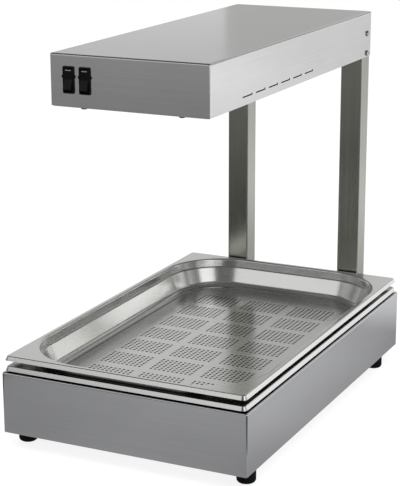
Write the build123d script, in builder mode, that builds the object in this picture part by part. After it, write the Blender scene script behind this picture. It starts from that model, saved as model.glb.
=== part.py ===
import os
from math import radians, tan

from build123d import *

os.makedirs("parts", exist_ok=True)

# Heated food scuttle: a base box with two nested pans, and two rear posts that carry a lamp hood.
# X is the width, the front faces -Y, Z is up. The origin is on the counter under the box's middle.

# Sheet gauges and clearances
base_sheet = 1.2
hood_sheet = 1.2
pan_sheet = 0.8
plate_sheet = 1.0           # base plate and hood underside panel
fit = 0.3                   # gap between pieces that slot together or lift apart
screw_play = 0.2            # radial gap round a screw, bolt, lead or pin in its hole

# Pans, full gastronorm size, measured over the flared lip
pan_width = 331.0
pan_length = 534.0
pan_flange_corner = 3.5
pan_flange = 10.0           # flat rim beside the straight sides of the perforated pan's mouth
pan_corner = 85.0           # corner radius of the perforated pan's mouth
pan_mouth_round = 2.8
lower_mouth_round = 1.2
lip_height = 5.5
lip_round = 1.8
shoulder_drop = 12.2        # rim top to the ledge inside the mouth
shoulder_ledge = 3.0
lower_ledge = 1.5
wall_slope = 24.0           # degrees, the perforated pan's wall off the upright
lower_slope = 10.0          # and the lower pan's
lip_slope = 25.0            # the turned-down lip flares
floor_round = 10.0
perforated_depth = 38.4
stack_seat = 1.6            # how far the upper pan's ledge lies on the lower pan's rim
floor_border = 1.4
floor_step = 0.8

# Perforation: blocks of holes in the pan floor
block_columns = 3
block_rows = 7
block_pitch_x = 72.5
block_pitch_y = 56.0
block_shift_y = -3.5
hole_columns = 5
hole_rows = 4
hole_pitch_x = 13.4
hole_pitch_y = 12.0
hole_diameter = 5.0

# Base box
base_side_margin = 2.5      # base top seen outside the pan rim
base_end_margin = 1.2
base_height = 80.0
base_fold = 2.6             # outside radius of the casing's folds
base_return = 22.0          # width of the turned-in bottom edge
lip_gap = 2.2               # pan lip above the base top
well_play = 1.0             # gap round the lower pan in the well
plate_inset = 2.0

# Feet
foot_height = 19.0
foot_diameter = 24.0
foot_round = 4.5
foot_side_inset = 15.5
foot_front_inset = 33.0
foot_rear_inset = 55.0
foot_recess_diameter = 10.0
foot_recess_depth = 8.0

# Posts and hood
post_width = 32.0
post_depth = 30.0
post_wall = 1.5
post_round = 2.0
post_lift = 2.0             # post's lower end above the casing's lower edge
post_top_gap = 10.0
hood_width = 211.0
hood_depth = 535.5
hood_height = 63.0
hood_rise = 337.0           # base top to the hood's lower edge
hood_fold = 2.6
hood_return = 15.0

# Vent slots in the hood's sides
slot_count = 6
slot_length = 28.5
slot_width = 1.6
slot_pitch = 39.0
slot_rise = 10.3
slot_eye = 3.0              # round end of a slot
slot_setback = 201.5        # hood front to the middle of the row

# Rocker switches
sides = ("left", "right")
switch_side_inset = 26.0
switch_pitch = 22.0
switch_rise = 32.2
bezel_width = 15.0
bezel_height = 32.5
bezel_thickness = 2.0
bezel_round = 1.5
bezel_ear = 1.5             # bulge on each side of a bezel
bezel_ear_height = 8.0
bezel_ear_rise = 4.0
switch_body_width = 13.2
switch_body_depth = 20.0
switch_wall = 0.9
pocket_depth = 15.0
rocker_reach = 14.0         # pivot to the rocker's round ends
rocker_face = 4.2           # pivot to the valley between the rocker's two faces
rocker_back = 5.0
rocker_tilt = 10.0          # degrees from level to either end stop
pivot_depth = 2.6           # pivot behind the hood's front face
pivot_pin = 2.6
blade_width = 6.3
blade_thickness = 0.8
blade_length = 8.0
blade_spread = 8.0

# Underside panel, reflector and lamps
panel_inset = 2.5
reflector_sheet = 0.8
reflector_side_gap = 19.0
reflector_front_gap = 62.0
reflector_rear_gap = 45.0
reflector_flange = 14.0
reflector_height = 34.0
reflector_slope = 24.0      # how far each side leans in
lamp_pitch = 36.0
lamp_diameter = 11.0
lamp_glass = 1.2
lamp_rise = 14.0            # lamp axis above the reflector's mouth
filament_diameter = 4.0
cap_diameter = 12.6
cap_length = 16.0
cap_seat = 8.0              # length of a cap held in its holder
holder_thickness = 12.0
holder_margin = 10.0
guard_wire = 3.0
guard_overhang = 3.0
guard_bars = 8
guard_peg = 7.0

# Fasteners
screw_shank = 4.0
screw_head = 8.0
screw_head_height = 2.4
screw_length = 8.0
cross_width = 1.0
cross_depth = 0.9
bolt_shank = 6.0
bolt_head = 10.0            # across flats
bolt_head_height = 4.0
nut_height = 5.0
foot_nut = 8.0
foot_nut_height = 4.0
backing_thickness = 2.0
backing_margin = 12.0
bolt_shares = (0.4, 0.8)    # post bolts' heights as shares of the casing's height
side_screw_rises = (5.2, 33.0)
under_screw_x = 65.0
under_screw_inset = 10.0
rear_screw_x = 45.0
plate_screw_y = 120.0

# Base heater
heater_gap = 6.4            # element saddles to the lower pan's underside
shield_side_gap = 40.5      # shield's edges inside the pan's rim
shield_end_gap = 47.0
shield_height = 6.0
shield_sheet = 1.0
element_diameter = 6.5
element_lift = 1.0          # element's underside above the shield
element_bend_share = 0.42   # bend radius as a share of the spacing of the runs
element_side_gap = 20.0     # outer runs inside the shield's edges
element_end_gap = 40.0
saddle_width = 18.0
saddle_length = 10.0
saddle_cap = 2.0
cutout_diameter = 16.0
cutout_height = 8.0
block_height = 16.0
base_block_width = 40.0
base_block_depth = 22.0
base_block_setback = 3.0    # shield's rear edge to the block
hood_block_depth = 20.0
hood_block_margin = 7.0
lead_diameter = 3.0
cable_diameter = 6.0
cable_bend = 8.0
lead_bend = 8.0
switch_lead_drop = 9.0      # hood top to the switch leads
lead_step = 10.0            # between leads side by side in a block
common_lead_gap = 15.0      # reflector's front end to the common lamp lead
jumper_reach = 12.0
cable_offset = 8.0          # post's middle to the cable inside it
earth_x = 60.0
earth_stud = 5.0
earth_nut = 8.0
earth_nut_height = 4.0
earth_height = 14.0
earth_tag = 11.0

# Cable gland
gland_side_inset = 29.5
gland_rise = 24.0           # casing's lower edge to the gland's axis
gland_bore = 9.0
gland_thread = 16.0
gland_hex = 20.0
gland_hex_height = 5.0
gland_dome_diameter = 17.0
gland_dome_length = 14.0
gland_nut_height = 4.0
gland_tail = 1.0            # thread past the locknut

# Derived places
base_width = pan_width + 2 * base_side_margin
base_depth = pan_length + 2 * base_end_margin
casing_bottom = foot_height + plate_sheet
base_top = casing_bottom + base_height
rear_reach = max(fit + hood_sheet, bolt_head_height)    # what stands behind the posts
overall_depth = base_depth + post_depth + rear_reach
base_front = -overall_depth / 2
base_rear = base_front + base_depth
pan_y = (base_front + base_rear) / 2
post_y = base_rear + post_depth / 2
post_rear = base_rear + post_depth
post_x = hood_width / 2 - hood_sheet - post_width / 2
cable_x = -post_x + cable_offset
post_bottom = casing_bottom + post_lift
hood_rear = post_rear + fit + hood_sheet
hood_front = hood_rear - hood_depth
hood_bottom = base_top + hood_rise
hood_top = hood_bottom + hood_height
post_top = hood_top - hood_sheet - post_top_gap
lower_rim = base_top + lip_gap + lip_height
upper_rim = lower_rim + shoulder_drop + pan_sheet + fit
heater_height = shield_height + element_lift + element_diameter + saddle_cap
lower_depth = lower_rim - pan_sheet - heater_gap - heater_height - casing_bottom
lower_flange = pan_flange - pan_sheet + stack_seat
lower_corner = pan_corner - (lower_flange - pan_flange)
collar_top = lower_rim - pan_sheet - fit


def span(x, y, z, mode=Mode.ADD):
    # a box between the low and high ends given for each axis
    with Locations(((x[0] + x[1]) / 2, (y[0] + y[1]) / 2, (z[0] + z[1]) / 2)):
        Box(x[1] - x[0], y[1] - y[0], z[1] - z[0], mode=mode)


def bore(points, direction, diameter, length):
    # round holes through the points, half their length to each side
    with Locations([Plane(point, z_dir=direction) for point in points]):
        Cylinder(diameter / 2, length, mode=Mode.SUBTRACT)


def save(builder, name):
    builder.part.label = name
    export_step(builder.part, f"parts/{name}.step")


def dome_screw(shank, length, head, head_height):
    # head above the XY plane, shank below it, with a cross recess
    with BuildPart() as screw:
        Cylinder(head / 2, head_height, align=(Align.CENTER, Align.CENTER, Align.MIN))
        fillet(screw.edges().group_by(Axis.Z)[-1], 0.6 * head_height)
        Cylinder(shank / 2, length, align=(Align.CENTER, Align.CENTER, Align.MAX))
        with BuildSketch(Plane.XY.offset(head_height)):
            Rectangle(0.5 * head, cross_width)
            Rectangle(cross_width, 0.5 * head)
        extrude(amount=-cross_depth, mode=Mode.SUBTRACT)
    return screw.part


def hex_bolt(shank, length, flats, head_height):
    with BuildPart() as bolt:
        with BuildSketch():
            RegularPolygon(flats / 2, 6, major_radius=False)
        extrude(amount=head_height)
        chamfer(bolt.edges().group_by(Axis.Z)[-1], 0.1 * flats / 2)
        Cylinder(shank / 2, length, align=(Align.CENTER, Align.CENTER, Align.MAX))
    return bolt.part


def hex_nut(hole, height, flats):
    with BuildPart() as nut:
        with BuildSketch():
            RegularPolygon(flats / 2, 6, major_radius=False)
            Circle(hole / 2, mode=Mode.SUBTRACT)
        extrude(amount=height)
    return nut.part


def set_in_places(piece, planes, name):
    # copies of one fastener as separate solids of one node
    with BuildPart() as group:
        with Locations(planes):
            add(piece)
    save(group, name)


def rounded(width, length, corner):
    with Locations((0, pan_y)):
        RectangleRounded(width, length, corner)


# Base casing: folded box, turned in along the bottom, with a raised collar round the well
half_width = base_width / 2
well_width = pan_width - 2 * lower_flange + 2 * (pan_sheet + well_play)
well_length = pan_length - 2 * lower_flange + 2 * (pan_sheet + well_play)
well_corner = lower_corner + pan_sheet + well_play
front_foot_y = base_front + foot_front_inset
rear_foot_y = base_rear - foot_rear_inset
foot_x = half_width - foot_side_inset
foot_places = {
    "front_left": (-foot_x, front_foot_y),
    "front_right": (foot_x, front_foot_y),
    "rear_left": (-foot_x, rear_foot_y),
    "rear_right": (foot_x, rear_foot_y),
}
plate_screw_x = half_width - base_return / 2
plate_screw_end = base_depth / 2 - base_return / 2
plate_screw_places = [
    (-plate_screw_x, pan_y - plate_screw_y),
    (-plate_screw_x, pan_y + plate_screw_y),
    (plate_screw_x, pan_y - plate_screw_y),
    (plate_screw_x, pan_y + plate_screw_y),
    (0, pan_y - plate_screw_end),
    (0, pan_y + plate_screw_end),
]
bolt_heights = [casing_bottom + share * base_height for share in bolt_shares]
bolt_places = [(side * post_x, base_rear, height) for side in (-1, 1) for height in bolt_heights]
cable_z = casing_bottom + shield_height + element_lift + element_diameter / 2
gland_x = half_width - gland_side_inset
gland_z = casing_bottom + gland_rise

with BuildPart() as base_casing:
    with BuildSketch(Plane.XY.offset(casing_bottom)):
        with Locations((0, pan_y)):
            Rectangle(base_width, base_depth)
    extrude(amount=base_height)
    fillet(base_casing.edges().filter_by(Axis.Z), base_fold)
    fillet(base_casing.edges().group_by(Axis.Z)[-1], base_fold)
    with BuildSketch(Plane.XY.offset(base_top)):
        rounded(well_width + 2 * base_sheet, well_length + 2 * base_sheet, well_corner + base_sheet)
    extrude(amount=collar_top - base_top)
    inner_x = half_width - base_sheet
    inner_y = base_depth / 2 - base_sheet
    with BuildPart(mode=Mode.SUBTRACT) as casing_space:
        span(
            (-inner_x, inner_x),
            (pan_y - inner_y, pan_y + inner_y),
            (casing_bottom + base_sheet, base_top - base_sheet),
        )
        fillet(casing_space.edges().group_by(Axis.Z)[-1], base_fold - base_sheet)
    mouth_x = half_width - base_return
    mouth_y = base_depth / 2 - base_return
    span(
        (-mouth_x, mouth_x),
        (pan_y - mouth_y, pan_y + mouth_y),
        (casing_bottom, casing_bottom + base_sheet),
        mode=Mode.SUBTRACT,
    )
    with BuildSketch(Plane.XY.offset(collar_top)):
        rounded(well_width, well_length, well_corner)
    extrude(amount=-(collar_top - base_top + base_sheet), mode=Mode.SUBTRACT)
    screw_hole = screw_shank + 2 * screw_play
    bolt_hole = bolt_shank + 2 * screw_play
    bore([(x, y, casing_bottom) for x, y in foot_places.values()], (0, 0, 1), screw_hole, 4 * base_sheet)
    bore([(x, y, casing_bottom) for x, y in plate_screw_places], (0, 0, 1), screw_hole, 4 * base_sheet)
    bore(bolt_places, (0, 1, 0), bolt_hole, 4 * base_sheet)
    bore([(cable_x, base_rear, cable_z)], (0, 1, 0), cable_diameter + 2 * screw_play, 4 * base_sheet)
    bore([(gland_x, base_rear, gland_z)], (0, 1, 0), gland_thread + 2 * screw_play, 4 * base_sheet)
save(base_casing, "base_casing")

# Base plate under the turned-in edges
with BuildPart() as base_plate:
    with BuildSketch(Plane.XY.offset(foot_height)):
        with Locations((0, pan_y)):
            Rectangle(base_width - 2 * plate_inset, base_depth - 2 * plate_inset)
    extrude(amount=plate_sheet)
    bore([(x, y, foot_height) for x, y in foot_places.values()], (0, 0, 1), screw_hole, 4 * plate_sheet)
    bore([(x, y, foot_height) for x, y in plate_screw_places], (0, 0, 1), screw_hole, 4 * plate_sheet)
save(base_plate, "base_plate")

set_in_places(
    dome_screw(screw_shank, screw_length, screw_head, screw_head_height),
    [Plane((x, y, foot_height), z_dir=(0, 0, -1)) for x, y in plate_screw_places],
    "base_plate_screws",
)

# Rubber feet, each held by a screw in its recess and a nut inside the casing
for name, (x, y) in foot_places.items():
    with BuildPart() as foot:
        with Locations((x, y, 0)):
            Cylinder(foot_diameter / 2, foot_height, align=(Align.CENTER, Align.CENTER, Align.MIN))
            fillet(foot.edges().group_by(Axis.Z)[0], foot_round)
            Cylinder(
                foot_recess_diameter / 2,
                foot_recess_depth,
                align=(Align.CENTER, Align.CENTER, Align.MIN),
                mode=Mode.SUBTRACT,
            )
        bore([(x, y, foot_height)], (0, 0, 1), screw_hole, 2 * foot_height)
    save(foot, f"foot_{name}")

foot_screw_length = foot_height - foot_recess_depth + plate_sheet + base_sheet + foot_nut_height
set_in_places(
    dome_screw(screw_shank, foot_screw_length, screw_head, screw_head_height),
    [Plane((x, y, foot_recess_depth), z_dir=(0, 0, -1)) for x, y in foot_places.values()],
    "foot_screws",
)
set_in_places(
    hex_nut(screw_hole, foot_nut_height, foot_nut),
    [Plane((x, y, casing_bottom + base_sheet)) for x, y in foot_places.values()],
    "foot_nuts",
)


# Pans: a rim with a turned-down lip, a stacking shoulder, a ledge and sloping walls
lip_flare = lip_height * tan(radians(lip_slope))
lip_skin = pan_sheet * tan(radians((90 - lip_slope) / 2))


def pan_well(top, width, length, corner, shoulder, ledge, depth, slope, bottom_round, soften):
    # the solid that fills a pan up to its rim
    with BuildPart() as well:
        with BuildSketch(Plane.XY.offset(top)):
            rounded(width, length, corner)
        extrude(amount=-shoulder)
        with BuildSketch(Plane.XY.offset(top - shoulder)):
            rounded(width - 2 * ledge, length - 2 * ledge, corner - ledge)
        extrude(amount=-(depth - shoulder), taper=slope)
        fillet(well.edges().group_by(Axis.Z)[0], bottom_round)
        if soften:
            fillet(well.edges().filter_by_position(Axis.Z, top - shoulder, top - shoulder), 0.35 * ledge)
    return well.part


def pan_shell(top, flange, mouth_round, ledge, depth, slope, floor_drop):
    width = pan_width - 2 * flange
    length = pan_length - 2 * flange
    corner = pan_corner - (flange - pan_flange)
    outside = pan_well(
        top,
        width + 2 * pan_sheet,
        length + 2 * pan_sheet,
        corner + pan_sheet,
        shoulder_drop + pan_sheet,
        ledge,
        depth + pan_sheet,
        slope,
        floor_round + pan_sheet,
        False,
    )
    inside = pan_well(
        top, width, length, corner, shoulder_drop, ledge, depth - floor_drop, slope, floor_round, True
    )
    with BuildPart() as shell:
        with BuildSketch(Plane.XY.offset(top)):
            rounded(pan_width - 2 * lip_flare, pan_length - 2 * lip_flare, pan_flange_corner)
        extrude(amount=-lip_height, taper=-lip_slope)
        fillet(shell.edges().group_by(Axis.Z)[-1], lip_round)
        with BuildSketch(Plane.XY.offset(top - pan_sheet)):
            rounded(
                pan_width - 2 * (lip_flare + lip_skin),
                pan_length - 2 * (lip_flare + lip_skin),
                pan_flange_corner - lip_skin,
            )
        extrude(amount=-lip_height, taper=-lip_slope, mode=Mode.SUBTRACT)
        lip_edge = shell.faces().filter_by(Plane.XY).sort_by(Axis.Z)[-2].outer_wire().edges()
        fillet(lip_edge, lip_round - pan_sheet)
        add(outside)
        under = shell.faces().filter_by(Plane.XY).sort_by(Axis.Z)[-2].inner_wires()[0].edges()
        fillet(under, mouth_round - pan_sheet)
        add(inside, mode=Mode.SUBTRACT)
        mouth = shell.faces().sort_by(Axis.Z)[-1].inner_wires()[0].edges()
        fillet(mouth, mouth_round)
    return shell.part


with BuildPart() as lower_pan:
    add(pan_shell(lower_rim, lower_flange, lower_mouth_round, lower_ledge, lower_depth, lower_slope, 0))
save(lower_pan, "lower_pan")

# The perforated pan is one pressing. Its walls and its floor are two solids that meet edge to edge.
wall_lean = (perforated_depth - floor_step - shoulder_drop) * tan(radians(wall_slope))
floor_reach = floor_round * tan(radians((90 - wall_slope) / 2))  # width of the bottom round
floor_inset = pan_flange + shoulder_ledge + wall_lean + floor_reach + floor_border
floor_width = pan_width - 2 * floor_inset
floor_length = pan_length - 2 * floor_inset
floor_corner = pan_corner + pan_flange - floor_inset
floor_top = upper_rim - perforated_depth

with BuildPart() as perforated_pan_wall:
    add(
        pan_shell(
            upper_rim, pan_flange, pan_mouth_round, shoulder_ledge, perforated_depth, wall_slope, floor_step
        )
    )
    with BuildSketch(Plane.XY.offset(upper_rim)):
        rounded(floor_width, floor_length, floor_corner)
    extrude(amount=-2 * perforated_depth, mode=Mode.SUBTRACT)
save(perforated_pan_wall, "perforated_pan_wall")

with BuildSketch(Plane.XY.offset(floor_top)) as floor_face:
    rounded(floor_width, floor_length, floor_corner)
    with Locations((0, pan_y + block_shift_y)):
        with GridLocations(block_pitch_x, block_pitch_y, block_columns, block_rows):
            with GridLocations(hole_pitch_x, hole_pitch_y, hole_columns, hole_rows):
                Circle(hole_diameter / 2, mode=Mode.SUBTRACT)
with BuildPart() as perforated_pan_floor:
    extrude(floor_face.sketch, amount=-pan_sheet, clean=False)
save(perforated_pan_floor, "perforated_pan_floor")

# Posts: square tubes bolted to the back of the base
hood_block_height = hood_bottom + block_height / 2
side_screw_heights = [hood_bottom + rise for rise in side_screw_rises]
plug_gap = post_wall + fit
for name, side in (("left", -1), ("right", 1)):
    with BuildPart() as post:
        with BuildSketch(Plane.XY.offset(post_bottom)):
            with Locations((side * post_x, post_y)):
                RectangleRounded(post_width, post_depth, post_round)
                RectangleRounded(
                    post_width - 2 * post_wall,
                    post_depth - 2 * post_wall,
                    max(post_round - post_wall, 0.2 * post_round),
                    mode=Mode.SUBTRACT,
                )
        extrude(amount=post_top - post_bottom)
        bore(
            [(side * post_x, post_y, height) for height in bolt_heights],
            (0, 1, 0),
            bolt_hole,
            2 * post_depth,
        )
        bore(
            [(side * (post_x + post_width / 2), post_y, height) for height in side_screw_heights],
            (1, 0, 0),
            screw_hole,
            4 * post_wall,
        )
        if side < 0:
            bore(
                [(cable_x, base_rear, cable_z), (cable_x, base_rear, hood_block_height)],
                (0, 1, 0),
                cable_diameter + 2 * screw_play,
                4 * post_wall,
            )
    save(post, f"post_{name}")

    with BuildPart() as post_plug:
        with BuildSketch(Plane.XY.offset(post_bottom)):
            with Locations((side * post_x, post_y)):
                RectangleRounded(post_width, post_depth, post_round)
        extrude(amount=-post_lift)
        with BuildSketch(Plane.XY.offset(post_bottom)):
            with Locations((side * post_x, post_y)):
                Rectangle(post_width - 2 * plug_gap, post_depth - 2 * plug_gap)
        extrude(amount=post_lift)
    save(post_plug, f"post_plug_{name}")

# Backing plate, bolts and nuts that hold the posts
wall_inside = base_rear - base_sheet
backing_x = post_x + backing_margin
with BuildPart() as post_backing_plate:
    span(
        (-backing_x, backing_x),
        (wall_inside - backing_thickness, wall_inside),
        (bolt_heights[0] - backing_margin, bolt_heights[1] + backing_margin),
    )
    bore(bolt_places, (0, 1, 0), bolt_hole, 4 * (base_sheet + backing_thickness))
save(post_backing_plate, "post_backing_plate")

bolt_length = post_depth + base_sheet + backing_thickness + nut_height
set_in_places(
    hex_bolt(bolt_shank, bolt_length, bolt_head, bolt_head_height),
    [Plane((x, post_rear, z), z_dir=(0, 1, 0)) for x, y, z in bolt_places],
    "post_bolts",
)
set_in_places(
    hex_nut(bolt_hole, nut_height, bolt_head),
    [Plane((x, wall_inside - backing_thickness, z), z_dir=(0, -1, 0)) for x, y, z in bolt_places],
    "post_nuts",
)

# Hood cover: folded box, turned in along the bottom, open where the posts come up into it
hood_half = hood_width / 2
hood_inner_x = hood_half - hood_sheet
hood_inner_front = hood_front + hood_sheet
hood_inner_rear = hood_rear - hood_sheet
switch_x = [-hood_half + switch_side_inset + i * switch_pitch for i in range(len(sides))]
switch_z = hood_bottom + switch_rise
pocket_width = switch_body_width - 2 * switch_wall
pocket_height = 2 * (rocker_reach + fit)
switch_body_height = pocket_height + 2 * switch_wall
slot_y = hood_front + slot_setback
notch_x = post_x - post_width / 2 - fit
notch_y = base_rear - fit
under_screw_places = [
    (-under_screw_x, hood_front + under_screw_inset),
    (under_screw_x, hood_front + under_screw_inset),
    (-hood_half + under_screw_inset, slot_y),
    (hood_half - under_screw_inset, slot_y),
    (-rear_screw_x, hood_rear - under_screw_inset),
    (rear_screw_x, hood_rear - under_screw_inset),
]

with BuildPart() as hood_cover:
    span((-hood_half, hood_half), (hood_front, hood_rear), (hood_bottom, hood_top))
    fillet(hood_cover.edges().filter_by(Axis.Z), hood_fold)
    fillet(hood_cover.edges().group_by(Axis.Z)[-1], hood_fold)
    with BuildPart(mode=Mode.SUBTRACT) as hood_space:
        span(
            (-hood_inner_x, hood_inner_x),
            (hood_inner_front, hood_inner_rear),
            (hood_bottom + hood_sheet, hood_top - hood_sheet),
        )
        fillet(hood_space.edges().group_by(Axis.Z)[-1], hood_fold - hood_sheet)
    span(
        (-hood_half + hood_return, hood_half - hood_return),
        (hood_front + hood_return, hood_rear - hood_return),
        (hood_bottom, hood_bottom + hood_sheet),
        mode=Mode.SUBTRACT,
    )
    for low, high in ((-hood_inner_x, -notch_x), (notch_x, hood_inner_x)):
        span(
            (low, high),
            (notch_y, hood_inner_rear),
            (hood_bottom, hood_bottom + hood_sheet),
            mode=Mode.SUBTRACT,
        )
    with BuildSketch(Plane.YZ):
        with Locations((slot_y, hood_bottom + slot_rise)):
            with GridLocations(slot_pitch, slot_pitch, slot_count, 1):
                SlotOverall(slot_length, slot_width)
                with Locations((slot_length / 2 - slot_eye / 2, (slot_eye - slot_width) / 2)):
                    Circle(slot_eye / 2)
    extrude(amount=hood_width, both=True, mode=Mode.SUBTRACT)
    for x in switch_x:
        with Locations((x, hood_front, switch_z)):
            Box(
                switch_body_width + 2 * fit,
                4 * hood_sheet,
                switch_body_height + 2 * fit,
                mode=Mode.SUBTRACT,
            )
    bore(
        [(side * hood_half, post_y, height) for side in (-1, 1) for height in side_screw_heights],
        (1, 0, 0),
        screw_hole,
        4 * hood_sheet,
    )
    bore([(x, y, hood_bottom) for x, y in under_screw_places], (0, 0, 1), screw_hole, 4 * hood_sheet)
save(hood_cover, "hood_cover")

set_in_places(
    dome_screw(screw_shank, screw_length, screw_head, screw_head_height),
    [
        Plane((side * hood_half, post_y, height), z_dir=(side, 0, 0))
        for side in (-1, 1)
        for height in side_screw_heights
    ],
    "hood_side_screws",
)

# Underside panel with the lamp opening
panel_bottom = hood_bottom - plate_sheet
mouth_half = hood_inner_x - reflector_side_gap - reflector_flange
reflector_front = hood_front + reflector_front_gap
reflector_rear = base_rear - reflector_rear_gap
lamp_mouth_x = mouth_half - reflector_sheet
lamp_mouth_y = (reflector_front + reflector_sheet, reflector_rear - reflector_sheet)
guard_x = mouth_half + guard_overhang
guard_y = (reflector_front - guard_overhang, reflector_rear + guard_overhang)
peg_places = [(x, y) for x in (-guard_x, guard_x) for y in guard_y]
reflector_screw_reach = guard_overhang + guard_wire / 2 + screw_head / 2 + fit
reflector_screw_places = [
    (x, y)
    for x in (-mouth_half / 2, mouth_half / 2)
    for y in (reflector_front - reflector_screw_reach, reflector_rear + reflector_screw_reach)
]

reflector_screw_holes = [(x, y, hood_bottom) for x, y in reflector_screw_places]
peg_holes = [(x, y, hood_bottom) for x, y in peg_places]

with BuildPart() as underside_panel:
    span(
        (-hood_half + panel_inset, hood_half - panel_inset),
        (hood_front + panel_inset, hood_rear - panel_inset),
        (panel_bottom, hood_bottom),
    )
    span((-lamp_mouth_x, lamp_mouth_x), lamp_mouth_y, (panel_bottom, hood_bottom), mode=Mode.SUBTRACT)
    for low, high in ((-hood_half, -notch_x), (notch_x, hood_half)):
        span((low, high), (notch_y, hood_rear), (panel_bottom, hood_bottom), mode=Mode.SUBTRACT)
    bore([(x, y, hood_bottom) for x, y in under_screw_places], (0, 0, 1), screw_hole, 4 * plate_sheet)
    bore(reflector_screw_holes, (0, 0, 1), screw_hole, 4 * plate_sheet)
    bore(peg_holes, (0, 0, 1), guard_wire + 2 * screw_play, 4 * plate_sheet)
save(underside_panel, "underside_panel")

set_in_places(
    dome_screw(screw_shank, screw_length, screw_head, screw_head_height),
    [Plane((x, y, panel_bottom), z_dir=(0, 0, -1)) for x, y in under_screw_places],
    "underside_screws",
)

# Reflector trough over the lamp opening
trough_top = hood_bottom + reflector_height
crown_half = mouth_half - reflector_slope
reflector_length = reflector_rear - reflector_front
lamp_z = hood_bottom + lamp_rise
lamp_x = (-lamp_pitch / 2, lamp_pitch / 2)


def trough(half_mouth, half_crown, top, rear, length, mode):
    with BuildSketch(Plane.XZ.offset(-rear), mode=Mode.PRIVATE) as section:
        Polygon(
            (-half_mouth, hood_bottom),
            (half_mouth, hood_bottom),
            (half_crown, top),
            (-half_crown, top),
            align=None,
        )
    extrude(section.sketch, amount=length, mode=mode)


with BuildPart() as lamp_reflector:
    trough(mouth_half, crown_half, trough_top, reflector_rear, reflector_length, Mode.ADD)
    span(
        (-mouth_half - reflector_flange, mouth_half + reflector_flange),
        (reflector_front - reflector_flange, reflector_rear + reflector_flange),
        (hood_bottom, hood_bottom + reflector_sheet),
    )
    trough(
        mouth_half - reflector_sheet,
        crown_half - reflector_sheet,
        trough_top - reflector_sheet,
        reflector_rear - reflector_sheet,
        reflector_length - 2 * reflector_sheet,
        Mode.SUBTRACT,
    )
    bore(reflector_screw_holes, (0, 0, 1), screw_hole, 4 * reflector_sheet)
    bore(peg_holes, (0, 0, 1), guard_wire + 2 * screw_play, 4 * reflector_sheet)
    bore(
        [(lamp_x[0], reflector_front, lamp_z)] + [(x, reflector_rear, lamp_z) for x in lamp_x],
        (0, 1, 0),
        lead_diameter + 2 * screw_play,
        4 * reflector_sheet,
    )
save(lamp_reflector, "lamp_reflector")

set_in_places(
    dome_screw(screw_shank, screw_length, screw_head, screw_head_height),
    [Plane((x, y, panel_bottom), z_dir=(0, 0, -1)) for x, y in reflector_screw_places],
    "reflector_screws",
)

# Lamps: quartz tubes with end caps, carried by a ceramic holder at each end
holder_half = lamp_pitch / 2 + cap_diameter / 2 + holder_margin / 2
holder_bottom = lamp_z - cap_diameter / 2 - holder_margin / 4
holder_top = trough_top - reflector_sheet
front_seat = lamp_mouth_y[0] + holder_thickness
rear_seat = lamp_mouth_y[1] - holder_thickness
for name, low, high, seat in (
    ("front", lamp_mouth_y[0], front_seat, front_seat),
    ("rear", rear_seat, lamp_mouth_y[1], rear_seat),
):
    with BuildPart() as lamp_holder:
        span((-holder_half, holder_half), (low, high), (holder_bottom, holder_top))
        bore([(x, seat, lamp_z) for x in lamp_x], (0, 1, 0), cap_diameter + 2 * screw_play, 2 * cap_seat)
    save(lamp_holder, f"lamp_holder_{name}")

cap_free = cap_length - cap_seat
glass_front = front_seat + cap_free
glass_rear = rear_seat - cap_free
with BuildPart() as lamp_caps:
    for x in lamp_x:
        for seat, outward in ((front_seat, -1), (rear_seat, 1)):
            with Locations(Plane((x, seat + outward * cap_seat, lamp_z), z_dir=(0, -outward, 0))):
                Cylinder(cap_diameter / 2, cap_length, align=(Align.CENTER, Align.CENTER, Align.MIN))
save(lamp_caps, "lamp_caps")

for name, x in zip(sides, lamp_x):
    with BuildPart() as quartz_tube:
        with Locations(Plane((x, glass_front, lamp_z), z_dir=(0, 1, 0))):
            Cylinder(
                lamp_diameter / 2,
                glass_rear - glass_front,
                align=(Align.CENTER, Align.CENTER, Align.MIN),
            )
            Cylinder(
                lamp_diameter / 2 - lamp_glass,
                glass_rear - glass_front,
                align=(Align.CENTER, Align.CENTER, Align.MIN),
                mode=Mode.SUBTRACT,
            )
    save(quartz_tube, f"quartz_tube_{name}")

with BuildPart() as lamp_filaments:
    for x in lamp_x:
        with Locations(Plane((x, glass_front, lamp_z), z_dir=(0, 1, 0))):
            Cylinder(
                filament_diameter / 2,
                glass_rear - glass_front,
                align=(Align.CENTER, Align.CENTER, Align.MIN),
            )
save(lamp_filaments, "lamp_filaments")

# Wire guard under the lamps: cross bars welded under long wires, with pegs sprung into the panel
guard_z = panel_bottom - guard_wire / 2
bar_z = guard_z - 0.7 * guard_wire
guard_length = guard_y[1] - guard_y[0]
guard_middle = (guard_y[0] + guard_y[1]) / 2
bar_step = (guard_length - 2 * guard_wire) / (guard_bars - 1)
with BuildPart() as lamp_guard:
    for x in (-guard_x, 0, guard_x):
        with Locations(Plane((x, guard_middle, guard_z), z_dir=(0, 1, 0))):
            Cylinder(guard_wire / 2, guard_length + 2 * guard_wire)
    for i in range(guard_bars):
        bar_y = guard_y[0] + guard_wire + i * bar_step
        with Locations(Plane((0, bar_y, bar_z), z_dir=(1, 0, 0))):
            Cylinder(guard_wire / 2, 2 * guard_x + 2 * guard_wire)
    with Locations([(x, y, guard_z) for x, y in peg_places]):
        Cylinder(0.4 * guard_wire, guard_peg, align=(Align.CENTER, Align.CENTER, Align.MIN))
save(lamp_guard, "lamp_guard")

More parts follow.
